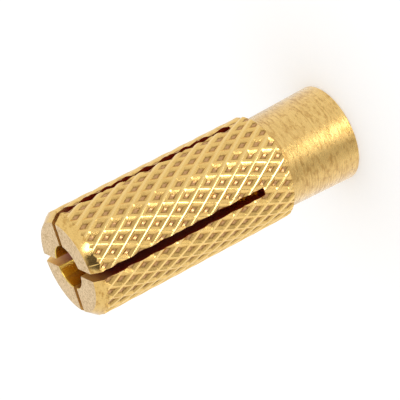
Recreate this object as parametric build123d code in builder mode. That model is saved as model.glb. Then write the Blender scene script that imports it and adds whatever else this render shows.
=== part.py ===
from build123d import *
import os
from math import sqrt

# Brass expansion anchor for an M8 screw, set in a 10 mm drilled hole.
# One turned piece in millimetres.  The origin is the centre of the mouth that the screw
# enters, +Z runs along the axis to the slotted tip, and the anchor stands on its mouth.

length = 28.3
barrel_r = 5.0              # over the crests of the knurling

# plain collar round the mouth, a little wider at the mouth than at the knurling
collar_length = 7.5
collar_mouth_r = 4.61
collar_step_r = 4.38
mouth_edge_break = 0.07
step_bevel = 0.18           # bevel on the knurling's first edge, both ways

# tip, chamfered so that the anchor starts in its hole
tip_chamfer_length = 0.88
tip_face_r = 4.26
tip_bore_edge_break = 0.06

# inside: an M8 tapped hole that tapers to a small bore, which the screw forces open
thread_minor_r = 3.32
countersink_r = 4.1
thread_end = 15.0
taper_end = 19.0
tip_bore_r = 2.0

# two slitting-saw cuts through the whole diameter, one deeper than the other
saw_r = 20.0
saw_run_out = 1.0           # how far each cut's outline stands clear of the brass
wide_slot_width = 0.75
wide_slot_end = 10.6        # height of the cut's end, seen on the barrel
narrow_slot_width = 0.6
narrow_slot_end = 9.6

# the half section is drawn at 45 degrees, so that its seam runs down the middle of a leg
section_plane = Plane(origin=(0, 0, 0), x_dir=(1, 1, 0), z_dir=(1, -1, 0))

slots = (
    (Plane.YZ, wide_slot_width, wide_slot_end),
    (Plane.XZ, narrow_slot_width, narrow_slot_end),
)


def saw_rise(reach):
    """Height of the saw's rim above its lowest point, at a distance from its centre line."""
    return saw_r - sqrt(saw_r**2 - reach**2)


# anchor body: half the section turned about the axis, then slotted from the tip
with BuildPart() as anchor_body:
    with BuildSketch(section_plane):
        with BuildLine():
            Polyline(
                (countersink_r, 0),
                (collar_mouth_r - mouth_edge_break, 0),
                (collar_mouth_r, mouth_edge_break),
                (collar_step_r, collar_length),
                (barrel_r - step_bevel, collar_length),
                (barrel_r, collar_length + step_bevel),
                (barrel_r, length - tip_chamfer_length),
                (tip_face_r, length),
                (tip_bore_r + tip_bore_edge_break, length),
                (tip_bore_r, length - tip_bore_edge_break),
                (tip_bore_r, taper_end),
                (thread_minor_r, thread_end),
                (thread_minor_r, countersink_r - thread_minor_r),
                close=True,
            )
        make_face()
    revolve(axis=Axis.Z)

    for slot_plane, slot_width, slot_end in slots:
        floor_z = slot_end - saw_rise(barrel_r)
        reach = barrel_r + saw_run_out
        reach_z = floor_z + saw_rise(reach)
        top_z = length + saw_run_out
        with BuildSketch(slot_plane):
            with BuildLine():
                ThreePointArc((-reach, reach_z), (0, floor_z), (reach, reach_z))
                Polyline((reach, reach_z), (reach, top_z), (-reach, top_z), (-reach, reach_z))
            make_face()
        extrude(amount=slot_width / 2, both=True, mode=Mode.SUBTRACT)

anchor_body.part.label = "anchor_body"

os.makedirs("parts", exist_ok=True)
export_step(anchor_body.part, "parts/anchor_body.step")
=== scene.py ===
import math

import bpy
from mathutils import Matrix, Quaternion, Vector, noise


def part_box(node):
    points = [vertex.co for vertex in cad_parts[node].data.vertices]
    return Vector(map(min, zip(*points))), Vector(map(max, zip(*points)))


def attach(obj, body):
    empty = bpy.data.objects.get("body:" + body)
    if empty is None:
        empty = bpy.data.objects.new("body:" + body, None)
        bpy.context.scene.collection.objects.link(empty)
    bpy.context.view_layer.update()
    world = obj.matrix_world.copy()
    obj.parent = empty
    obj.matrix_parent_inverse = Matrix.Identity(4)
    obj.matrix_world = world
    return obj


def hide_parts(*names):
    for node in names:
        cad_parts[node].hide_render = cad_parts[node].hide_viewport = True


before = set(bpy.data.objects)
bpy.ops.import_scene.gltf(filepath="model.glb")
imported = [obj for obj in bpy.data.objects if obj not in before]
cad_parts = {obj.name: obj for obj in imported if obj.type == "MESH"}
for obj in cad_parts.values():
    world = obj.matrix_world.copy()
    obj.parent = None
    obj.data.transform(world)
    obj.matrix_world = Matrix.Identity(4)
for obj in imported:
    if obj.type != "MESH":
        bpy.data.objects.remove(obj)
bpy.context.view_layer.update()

MM = 0.001
low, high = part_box("anchor_body")
length = high.z - low.z
barrel_r = (high.x - low.x) / 2


# ---- Anchor body: the bar --------------------------------------------------------------
# The anchor starts as round brass bar.  Two hardened wheels press a net of crossing
# ridges into it: the brass between their points is left standing, with a pit in each mesh.

knurl_starts = (23, 24)                  # ridges round the bar, in each family
knurl_rise = (2.774 * MM, 2.076 * MM)    # along the bar, from one ridge to the next
knurl_phase = (-0.239, 0.499)            # parts of a ridge's pitch, at the mouth
knurl_depth = 0.24 * MM
ridge_half_width = (0.06, 0.13)          # rounded top of a ridge, in parts of its pitch
ridge_sink = (0.026 * MM, 0.0)           # the first family stands a little lower than the second
shoulder_sink = 0.042 * MM               # from a crest down to the edges of its rounded top
crest_lean = 0.016 * MM                  # a crest leans over, so that one shoulder is lower
pit_half_width = 0.09                    # small flat bottom of a pit, in parts of the pitch
crest_clearance = 0.004 * MM             # keeps the worn crests just inside the barrel's size
wear = 0.02 * MM                         # most that the crests are worn down
wear_patches = 3                         # worn patches are about a third of the radius long
spare_rows = 2                           # rows of the net past each end, cut off square
weld = 1e-7                              # corners nearer than this, in metres, are one
view_azimuth = 24.0                      # the side turned to the camera, in degrees


def deselect():
    bpy.ops.object.select_all(action="DESELECT")


def take(piece):
    """Makes a piece the only one selected, and the active one."""
    deselect()
    piece.select_set(True)
    bpy.context.view_layer.objects.active = piece


def fold_faces(sheet, columns, rows):
    """Splits each square of a net's grid so that its diagonal runs from a crossing down to a pit."""
    for method, mirrored in (("FIXED", False), ("FIXED_ALTERNATE", True)):
        bpy.ops.object.mode_set(mode="EDIT")
        bpy.ops.mesh.select_mode(type="FACE")
        bpy.ops.mesh.select_all(action="DESELECT")
        bpy.ops.object.mode_set(mode="OBJECT")
        for face in sheet.data.polygons:
            column = columns[math.floor((face.center.x + 0.5) * (len(columns) - 1))]
            row = rows[math.floor((face.center.y + 0.5) * (len(rows) - 1))]
            slants_back = (column % 1 < 0.5) != (row % 1 < 0.5)
            face.select = len(face.vertices) == 4 and slants_back == mirrored
        bpy.ops.object.mode_set(mode="EDIT")
        bpy.ops.mesh.quads_convert_to_tris(quad_method=method)
    bpy.ops.mesh.select_mode(type="VERT")
    bpy.ops.object.mode_set(mode="OBJECT")


def rolled_sheet(name, columns, rows, place, folded=False):
    """Rolls a flat grid into a bar: place(column, row) gives a corner's angle, height and radius."""
    deselect()
    bpy.ops.mesh.primitive_grid_add(x_subdivisions=len(columns) - 1, y_subdivisions=len(rows) - 1, size=1)
    sheet = bpy.context.object
    sheet.name = name
    if folded:
        fold_faces(sheet, columns, rows)
    for corner in sheet.data.vertices:
        column = columns[round((corner.co.x + 0.5) * (len(columns) - 1))]
        row = rows[round((corner.co.y + 0.5) * (len(rows) - 1))]
        angle, height, radius = place(column, row)
        corner.co = (radius * math.cos(angle), radius * math.sin(angle), height)
    bpy.ops.object.mode_set(mode="EDIT")
    bpy.ops.mesh.select_all(action="SELECT")
    bpy.ops.mesh.remove_doubles(threshold=weld)
    bpy.ops.object.mode_set(mode="OBJECT")
    return sheet


def cut_ends(piece, bottom, top):
    """Cuts a bar off square at two heights and closes its ends."""
    take(piece)
    bpy.ops.object.mode_set(mode="EDIT")
    for height, up in ((bottom, -1), (top, 1)):
        bpy.ops.mesh.select_all(action="SELECT")
        bpy.ops.mesh.bisect(
            plane_co=(0, 0, height), plane_no=(0, 0, up), use_fill=True, clear_outer=True, threshold=1e-8
        )
    bpy.ops.mesh.select_all(action="SELECT")
    bpy.ops.mesh.normals_make_consistent(inside=False)
    bpy.ops.object.mode_set(mode="OBJECT")


def ramp(distance, start, end):
    """0 up to the start, 1 past the end, and straight between them."""
    return min(1.0, max(0.0, (distance - start) / (end - start)))


def ridge_drop(place, half_width, sink):
    """How far the side of one family's ridge lies under the crests."""
    side = (place - round(place)) / half_width
    if abs(side) < 1:
        return sink + (shoulder_sink - sink) * side**2 + crest_lean * side * (1 - side**2)
    down_flank = ramp(abs(side) * half_width, half_width, 0.5 - pit_half_width)
    return shoulder_sink + (knurl_depth - shoulder_sink) * down_flank


def ridge_lines(half_width):
    """Where the net has its lines across one ridge and the pit beside it, in parts of the pitch."""
    pit = 0.5 - pit_half_width
    flank = (half_width + pit) / 2
    half = (0, half_width / 2, half_width, flank, pit)
    return half + (0.5,) + tuple(1 - line for line in reversed(half[1:]))


knurl_bottom = 6.0 * MM
knurl_top = length + 0.6 * MM
lattice = knurl_starts[1] / knurl_rise[0] + knurl_starts[0] / knurl_rise[1]


def knurl_place(across, along):
    """Where two families of helical ridges put a point, as angle, height and radius."""
    first = across - knurl_phase[0]
    second = along - knurl_phase[1]
    height = (knurl_starts[1] * first + knurl_starts[0] * second) / lattice
    turns = (first - height / knurl_rise[0]) / knurl_starts[0]
    angle = math.radians(view_azimuth - 90) - 2 * math.pi * turns
    spot = Vector((math.cos(angle), math.sin(angle), height / barrel_r)) * wear_patches
    worn = wear * (0.5 + 0.5 * noise.noise(spot))
    drops = [ridge_drop(*side) for side in zip((across, along), ridge_half_width, ridge_sink)]
    return angle, height, barrel_r - crest_clearance - worn - min(drops)


def knurl_rows():
    first_row = math.floor(lattice * knurl_bottom / knurl_starts[0]) - knurl_starts[1] - spare_rows
    last_row = math.ceil(lattice * knurl_top / knurl_starts[0]) + spare_rows
    return [row + line for row in range(first_row, last_row) for line in ridge_lines(ridge_half_width[1])]


columns = [column + line for column in range(knurl_starts[0]) for line in ridge_lines(ridge_half_width[0])]
columns.append(knurl_starts[0])
bar = rolled_sheet("bar", columns, knurl_rows(), knurl_place, folded=True)
cut_ends(bar, knurl_bottom, knurl_top)


# ---- Anchor body: turning --------------------------------------------------------------
# The bar is turned on a lathe: a smooth collar that flares a little towards the mouth, a step
# up to the barrel and a chamfer at the tip.  The bore is wide at the mouth, tapers, and goes
# out through the tip as a small plain hole.
collar_length = 7.5 * MM
collar_mouth_r = 4.61 * MM
collar_step_r = 4.38 * MM
mouth_edge_break = 0.07 * MM
step_bevel = 0.18 * MM
tip_chamfer_length = 0.88 * MM
tip_face_r = 4.26 * MM
tip_bore_edge_break = 0.06 * MM
thread_minor_r = 3.32 * MM
countersink_r = 4.1 * MM
thread_end = 15.0 * MM
taper_end = 19.0 * MM
tip_bore_r = 2.0 * MM
turning_steps = 192
over_crests = 0.3 * MM              # the section clears the knurling, which the bar brings
corner_break = 0.03 * MM            # every turned corner is a little rounded
stock_r = barrel_r - 0.05 * MM
stock_low, stock_high = -1.0 * MM, 7.0 * MM

section = (
    (countersink_r, 0),
    (collar_mouth_r - mouth_edge_break, 0),
    (collar_mouth_r, mouth_edge_break),
    (collar_step_r, collar_length),
    (barrel_r - step_bevel, collar_length),
    (barrel_r + over_crests, collar_length + step_bevel + over_crests),
    (barrel_r + over_crests, length - tip_chamfer_length + over_crests),
    (barrel_r, length - tip_chamfer_length),
    (tip_face_r, length),
    (tip_bore_r + tip_bore_edge_break, length),
    (tip_bore_r, length - tip_bore_edge_break),
    (tip_bore_r, taper_end),
    (thread_minor_r, thread_end),
    (thread_minor_r, countersink_r - thread_minor_r),
)

outline = bpy.data.meshes.new("anchor_body_looks")
edges = [(n, (n + 1) % len(section)) for n in range(len(section))]
outline.from_pydata([(r, 0, z) for r, z in section], edges, [])
body = bpy.data.objects.new("anchor_body_looks", outline)
bpy.context.collection.objects.link(body)
take(body)
bpy.ops.object.mode_set(mode="EDIT")
bpy.ops.mesh.select_all(action="SELECT")
bpy.ops.mesh.bevel(offset=corner_break, segments=2, affect="VERTICES")
bpy.ops.mesh.select_all(action="SELECT")
bpy.ops.mesh.spin(steps=turning_steps, angle=2 * math.pi, center=(0, 0, 0), axis=(0, 0, 1))
bpy.ops.mesh.select_all(action="SELECT")
bpy.ops.mesh.remove_doubles(threshold=weld)
bpy.ops.mesh.normals_make_consistent(inside=False)
bpy.ops.object.mode_set(mode="OBJECT")


def combine(piece, operation, tool):
    """Joins or cuts a piece with a tool, which is used up."""
    take(piece)
    cut = piece.modifiers.new(tool.name, "BOOLEAN")
    cut.operation = operation
    cut.solver = "MANIFOLD"
    cut.object = tool
    bpy.ops.object.modifier_apply(modifier=cut.name)
    bpy.data.objects.remove(tool)


# the collar needs bar stock too: a plain length of bar below the knurling
deselect()
bpy.ops.mesh.primitive_cylinder_add(
    vertices=turning_steps,
    radius=stock_r,
    depth=stock_high - stock_low,
    location=(0, 0, (stock_low + stock_high) / 2),
)
stock = bpy.context.object
combine(bar, "UNION", stock)
combine(body, "INTERSECT", bar)


# ---- Anchor body: thread ---------------------------------------------------------------
# A tap cuts a right-handed thread into the bore from the mouth, and it runs out over its last
# two turns, before the taper.  Driven on into the taper, the screw spreads the legs.
thread_pitch = 1.25 * MM
thread_major_r = 4.0 * MM
tap_core_r = 3.25 * MM
tap_start = -0.5 * MM
tap_end = 14.2 * MM
tap_turns = range(-3, 14)
run_out = 2 * thread_pitch
tap_flat = 0.125 / 2                # half the flat of the groove, in parts of the pitch
tap_shoulder = 0.375
thread_facets = 96
tap_lines = (-tap_shoulder, -tap_flat, tap_flat, tap_shoulder)


def tap_place(column, row):
    """Where the tap has a point of its helical cutting edge, as angle, height and radius."""
    turn = column / thread_facets
    height = (row + turn) * thread_pitch
    groove = 1 - ramp(abs(row - round(row)), tap_flat, tap_shoulder)
    taper = ramp(height, tap_end, tap_end - run_out)
    radius = tap_core_r + (thread_major_r - tap_core_r) * groove * taper
    return 2 * math.pi * turn, height, radius


tap_rows = [turn + line for turn in tap_turns for line in tap_lines]
tap = rolled_sheet("tap", list(range(thread_facets + 1)), tap_rows, tap_place)
cut_ends(tap, tap_start, tap_end)
combine(body, "DIFFERENCE", tap)


# ---- Anchor body: saw cuts -------------------------------------------------------------
# Two slitting saws go in from the tip, one across the other, and split the barrel into four
# legs.  One cut is wider, the narrow one reaches a little further, and each has a round floor.
saw_r = 20.0 * MM
saw_facets = 256
wide_cut, wide_end = 0.75 * MM, 10.6 * MM
narrow_cut, narrow_end = 0.60 * MM, 9.6 * MM
saw_weld = 2e-7
smooth_angle = 28


def saw_centre(end):
    """Height of a saw's centre, so that its rim meets the barrel's wall at the cut's end."""
    rise = saw_r - math.sqrt(saw_r**2 - barrel_r**2)
    return end - rise + saw_r


for name, width, end, turn in (
    ("wide_saw", wide_cut, wide_end, (0, math.pi / 2, 0)),
    ("narrow_saw", narrow_cut, narrow_end, (math.pi / 2, 0, 0)),
):
    deselect()
    bpy.ops.mesh.primitive_cylinder_add(
        vertices=saw_facets, radius=saw_r, depth=width, rotation=turn, location=(0, 0, saw_centre(end))
    )
    saw = bpy.context.object
    saw.name = name
    combine(body, "DIFFERENCE", saw)

take(body)
bpy.ops.object.mode_set(mode="EDIT")
bpy.ops.mesh.select_all(action="SELECT")
bpy.ops.mesh.remove_doubles(threshold=saw_weld)
bpy.ops.object.mode_set(mode="OBJECT")
bpy.ops.object.shade_smooth_by_angle(angle=math.radians(smooth_angle))

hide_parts("anchor_body")
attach(body, "root")


# ---- Anchor body: finish ---------------------------------------------------------------
# Bare brass: bright on the worn crests, brown in the pits as tarnish and painted shade, with rings of
# tarnish from the turning tool on the collar, dull speckled leg ends, a yellow bore and saw cuts darkened
# as painted shade.
# Distances in the material are in millimetres.
class Wire:
    """A node's output; sums and products on it add Math nodes."""

    def __init__(self, socket):
        self.socket = socket

    def math(self, operation, *values):
        return add_node(self.socket.id_data, "ShaderNodeMath", {"operation": operation}, *values)

    def __add__(self, other):
        return self.math("ADD", self, other)

    __radd__ = __add__

    def __sub__(self, other):
        return self.math("SUBTRACT", self, other)

    def __rsub__(self, other):
        return self.math("SUBTRACT", other, self)

    def __mul__(self, other):
        return self.math("MULTIPLY", self, other)

    __rmul__ = __mul__

    def __truediv__(self, other):
        return self.math("DIVIDE", self, other)

    def larger(self, other):
        return self.math("MAXIMUM", self, other)

    def root(self):
        return self.math("SQRT", self)

    def unsigned(self):
        return self.math("ABSOLUTE", self)

    def clamp(self):
        return add_node(
            self.socket.id_data, "ShaderNodeMath", {"operation": "ADD", "use_clamp": True}, self, 0.0
        )


def add_node(tree, kind, settings, *values, output=0, **named):
    """Adds a node, sets it up, fills or links its sockets and returns one of its outputs."""
    made = tree.nodes.new(kind)
    for key, value in settings.items():
        setattr(made, key, value)
    sockets = [(made.inputs[n], value) for n, value in enumerate(values)]
    sockets += [(made.inputs[key.replace("_", " ")], value) for key, value in named.items()]
    for socket, value in sockets:
        if isinstance(value, Wire):
            tree.links.new(value.socket, socket)
        else:
            socket.default_value = value
    return Wire(made.outputs[output])


def mix_colour(tree, factor, first, second):
    """The first colour where the factor is 0, and the second where it is 1."""
    made = tree.nodes.new("ShaderNodeMix")
    made.data_type = "RGBA"
    for socket, value in ((made.inputs[0], factor), (made.inputs[6], first), (made.inputs[7], second)):
        if isinstance(value, Wire):
            tree.links.new(value.socket, socket)
        else:
            socket.default_value = value
    return Wire(made.outputs[2])


def grain(tree, place, scale, detail=2.0, roughness=0.5):
    """Noise from 0 to 1 round a half, with its patches 1 / scale long."""
    return add_node(
        tree, "ShaderNodeTexNoise", {}, Vector=place, Scale=scale, Detail=detail, Roughness=roughness
    )


def stretched(tree, x, y, z):
    """A place made of three numbers, so that a grain can be drawn out along one of them."""
    return add_node(tree, "ShaderNodeCombineXYZ", {}, x, y, z)


def below(value, limit, blur=0.004):
    """1 where a distance in millimetres is under a limit, 0 past it."""
    return ((limit + blur / 2 - value) / blur).clamp()


def above(value, limit, blur=0.004):
    """1 where a distance in millimetres is over a limit, 0 under it."""
    return ((value - (limit - blur / 2)) / blur).clamp()


def contrast(value, middle, gain):
    """Sharpens a grain about a level, kept from 0 to 1."""
    return ((value - middle) * gain).clamp()


brass_gold = (0.87, 0.58, 0.195, 1)
brass_tarnish = (0.52, 0.27, 0.055, 1)
brass_pale = (0.90, 0.70, 0.44, 1)
brass_dull = (0.58, 0.40, 0.19, 1)
# painted shade: this brown stands partly for tarnish in the pits and partly for the shade that falls in
# them
pit_brown_and_shade = (0.26, 0.125, 0.03, 1)
pit_rose = (0.62, 0.36, 0.16, 1)
crest_gold = (0.93, 0.66, 0.27, 1)
bore_gold = (0.80, 0.56, 0.12, 1)
# painted shade: this dark red-brown stands for the shade inside the narrow saw cuts
slot_painted_shade = (0.38, 0.035, 0.008, 1)

brass = bpy.data.materials.new("brass")
brass.use_nodes = True
tree = brass.node_tree
skin = tree.nodes["Principled BSDF"]
skin.inputs["Metallic"].default_value = 1.0

place = add_node(tree, "ShaderNodeTexCoord", {}, output=3)
place = add_node(tree, "ShaderNodeVectorMath", {"operation": "SCALE"}, place, Scale=1 / MM)
split = add_node(tree, "ShaderNodeSeparateXYZ", {}, place)
x, y, z = (Wire(split.socket.node.outputs[n]) for n in range(3))
radius = (x * x + y * y).root()

wall_skin = 0.006                   # depth to which a cut's wall or the end face is coloured
floor_skin = 0.01                   # the same at a cut's floor
knurl_low_r = 4.6                   # the knurled wall is outside this radius
slot_clear = 1.3                    # the saw cuts get no painted shade this near the tip
slot_fade = 1.6


def in_cut(across, along, width, end):
    """1 on the walls and floor that a slitting saw left."""
    drop = z - saw_centre(end) / MM
    reach = (along * along + drop * drop).root()
    return below(across.unsigned(), width / 2 / MM + wall_skin) * below(reach, saw_r / MM + floor_skin)


sawn = in_cut(x, y, wide_cut, wide_end).larger(in_cut(y, x, narrow_cut, narrow_end))
end_face = above(z, length / MM - wall_skin)
chamfer_outer = above(radius, tip_face_r / MM - 0.04)
chamfer = above(z, (length - tip_chamfer_length) / MM) * chamfer_outer * (1 - end_face)
collar = below(z, collar_length / MM) * above(radius, countersink_r / MM + 0.03)
tip_bore = below(radius, tip_bore_r / MM + 0.07)
thread = below(radius, thread_major_r / MM + 0.12) * below(z, taper_end / MM)
inside = tip_bore.larger(thread) * (1 - end_face)
deep = ((barrel_r / MM - 0.05 - radius) / (knurl_depth / MM - 0.06)).clamp()
knurled = above(z, collar_length / MM + 0.02) * above(radius, knurl_low_r) * (1 - chamfer)

rings = grain(tree, stretched(tree, x * 0.06, y * 0.06, z), 7.0, 5.0, 0.7)
fine_rings = grain(tree, stretched(tree, x * 0.3, y * 0.3, z), 40.0, 1.0)
clouds = grain(tree, place, 1.3, 3.0, 0.6)
specks = grain(tree, place, 9.0, 2.0, 0.6)
parted = grain(tree, stretched(tree, x * 0.2, y, z), 14.0, 3.0, 0.7)

mottle = contrast(clouds, 0.46, 4) * contrast(specks, 0.5, 7) * 0.7
blotch = grain(tree, stretched(tree, x * 0.4, y * 0.4, z), 3.2, 5.0, 0.75)
mottle = mottle + contrast(blotch, 0.50, 9) * (collar + chamfer) * 0.8
tool_marks = contrast(rings, 0.5, 3) * (0.25 + collar * 0.8)
tarnish = (mottle + tool_marks + contrast(clouds, 0.5, 3) * 0.2).clamp()
colour = mix_colour(tree, tarnish * 0.8, brass_gold, brass_tarnish)
crest = ((radius - (barrel_r / MM - 0.045)) / 0.02).clamp() * knurled
colour = mix_colour(tree, crest * 0.8, colour, crest_gold)
# painted shade: the lower half of each pit's depth is browned, partly as tarnish and partly as the shade
# that falls in it
pit_tarnish_and_shade = contrast(deep, 0.5, 3.0) * knurled * (0.75 + ((specks - 0.5) * 2.4))
colour = mix_colour(tree, pit_tarnish_and_shade.clamp(), colour, pit_brown_and_shade)
colour = mix_colour(tree, contrast(deep, 0.93, 20) * knurled, colour, pit_rose)
crumbs = grain(tree, place, 5.5, 5.0, 0.85)
faced = ((parted - 0.5) * 2.5 + (crumbs - 0.5) * 7.0 + 0.6).clamp()
colour = mix_colour(tree, end_face, colour, mix_colour(tree, faced, brass_dull, brass_pale))
colour = mix_colour(tree, inside, colour, bore_gold)
# painted shade in the saw cuts, left off near the tip
colour = mix_colour(tree, sawn * below(z, length / MM - slot_clear, slot_fade), colour, slot_painted_shade)
tree.links.new(colour.socket, skin.inputs["Base Color"])

gloss = 0.22 + (rings - 0.5) * (0.2 + collar * 0.9) + collar * 0.06 + end_face * 0.3 + sawn * 0.3
gloss = gloss + (specks - 0.5) * 0.2 + deep * knurled * 0.16 - chamfer * 0.08
tree.links.new(gloss.clamp().socket, skin.inputs["Roughness"])

bump_height = 0.008 * MM
relief = rings * (collar + chamfer * 0.5 + inside * 0.4)
relief = relief + fine_rings * collar * 0.5
relief = relief + crumbs * end_face * 1.2
relief = relief + specks * (knurled * 0.5 + sawn + end_face * 0.6)
tree.links.new((collar * 0.3).socket, skin.inputs["Coat Weight"])
skin.inputs["Coat Roughness"].default_value = 0.22
skin.inputs["Coat IOR"].default_value = 1.7
bump = add_node(tree, "ShaderNodeBump", {}, Strength=1.0, Distance=bump_height, Height=relief)
tree.links.new(bump.socket, skin.inputs["Normal"])
body.data.materials.clear()
body.data.materials.append(brass)


# ---- Stage -----------------------------------------------------------------------------
# A white floor under the anchor, clear from below and hidden from reflections, and large bent
# cards that only reflections see.  They are placed for the camera's own view, where they give
# the collar's highlight, the darker bands beside it and the pale rims.
floor_gap = 0.02 * MM
floor_size = 2.0
floor_shine = 0.22                  # added to the floor for the camera only
card_steps = 12
card_distance = 300 * MM
deselect()
bpy.ops.mesh.primitive_plane_add(size=floor_size, location=(0, 0, low.z - floor_gap))
floor = bpy.context.object
floor.name = "floor"
paper = bpy.data.materials.new("paper")
paper.use_nodes = True
leaf = paper.node_tree.nodes["Principled BSDF"]
leaf.inputs["Base Color"].default_value = (0.9, 0.9, 0.9, 1)
leaf.inputs["Roughness"].default_value = 1.0
leaf.inputs["Emission Color"].default_value = (1, 1, 1, 1)
seen = add_node(paper.node_tree, "ShaderNodeLightPath", {})
paper.node_tree.links.new((seen * floor_shine).socket, leaf.inputs["Emission Strength"])
leaf.inputs["Specular IOR Level"].default_value = 0
leaf_out = Wire(leaf.outputs["BSDF"])
behind = add_node(paper.node_tree, "ShaderNodeNewGeometry", {}, output=6)
clear = add_node(paper.node_tree, "ShaderNodeBsdfTransparent", {})
sheet_or_clear = add_node(paper.node_tree, "ShaderNodeMixShader", {}, behind, leaf_out, clear)
paper.node_tree.links.new(sheet_or_clear.socket, paper.node_tree.nodes["Material Output"].inputs["Surface"])
floor.data.materials.append(paper)
floor.visible_glossy = False


def glow(name, colour, strength):
    """A plain surface that only shines, for lamps and cards."""
    made = bpy.data.materials.new(name)
    made.use_nodes = True
    shine = made.node_tree.nodes["Principled BSDF"]
    shine.inputs["Base Color"].default_value = (0, 0, 0, 1)
    shine.inputs["Specular IOR Level"].default_value = 0
    shine.inputs["Emission Color"].default_value = (*colour, 1)
    shine.inputs["Emission Strength"].default_value = strength
    return made


def card(name, left, right, finish, low_edge, high_edge, distance=card_distance):
    """A large bent card between two azimuths and two elevations, for reflections only."""
    corners, faces = [], []
    for n in range(card_steps + 1):
        angle = math.radians(left + (right - left) * n / card_steps - 90)
        for tilt in (low_edge, high_edge):
            height = distance * math.tan(math.radians(tilt)) + (low.z + high.z) / 2
            corners.append((distance * math.cos(angle), distance * math.sin(angle), height))
    for n in range(card_steps):
        faces.append((2 * n, 2 * n + 1, 2 * n + 3, 2 * n + 2))
    shape = bpy.data.meshes.new(name)
    shape.from_pydata(corners, [], faces)
    made = bpy.data.objects.new(name, shape)
    bpy.context.collection.objects.link(made)
    shape.materials.append(finish)
    made.visible_camera = False
    made.visible_diffuse = False
    made.visible_shadow = False


card("key_lamp", 7, 31, glow("key_white", (1, 1, 1), 9.5), -34, -10)
card("key_edge", -4, 42, glow("key_edge", (1, 0.98, 0.95), 1.25), -40, -8, distance=card_distance + 1 * MM)
card("upper_band", -50, 34, glow("upper_band", (1, 1, 1), 1.35), -12, -2.5)
card("dusk_low", -58, -10, glow("dusk_low", (1, 0.95, 0.85), 0.5), -48, -36)
card("right_rim", -150, -29, glow("right_rim", (1, 1, 1), 1.15), -35, -12)
card("left_rim", 118, 190, glow("left_rim", (1, 1, 1), 1.02), -45, -5)
card("dusk_high", -26, -17, glow("dusk_deep", (1, 0.95, 0.85), 0.2), -35, -13)
card("front_card", -62, 130, glow("front_card", (1, 0.95, 0.9), 0.6), -2, 37)
card("dark_above", -22, 34, glow("dark_above", (1, 0.9, 0.8), 0.10), 38, 72)
card("side_lamp", 36, 60, glow("lamp_white", (1, 1, 1), 6.0), 42, 66)

world = bpy.data.worlds.new("studio")
bpy.context.scene.world = world
world.use_nodes = True
sky = world.node_tree.nodes["Background"]
sky.inputs["Color"].default_value = (1, 1, 1, 1)
sky.inputs["Strength"].default_value = 0.94


# ---- Camera ----------------------------------------------------------------------------
# A long lens looks at the anchor from a little above, rolled so that its tip points to the
# lower left.  Its aim is a little off the anchor's middle.
view_elevation = 24.15
view_roll = -117.5
eye_distance = 187.16 * MM
aim_offset = Vector((-0.163 * MM, -0.182 * MM, 0))
focal_length = 190.7
near_limit = 0.01
azimuth, elevation = math.radians(view_azimuth), math.radians(view_elevation)
back = Vector(
    (math.sin(azimuth) * math.cos(elevation), -math.cos(azimuth) * math.cos(elevation), math.sin(elevation))
)
turn = (-back).to_track_quat("-Z", "Y") @ Quaternion((0, 0, 1), math.radians(view_roll))
centre = Vector((0, 0, (low.z + high.z) / 2))
eye = centre + back * eye_distance + turn @ aim_offset
lens = bpy.data.cameras.new("camera")
lens.lens = focal_length
lens.clip_start = near_limit
camera = bpy.data.objects.new("camera", lens)
bpy.context.collection.objects.link(camera)
camera.location = eye
camera.rotation_mode = "QUATERNION"
camera.rotation_quaternion = turn
bpy.context.scene.camera = camera
bpy.context.scene.view_settings.view_transform = "Standard"
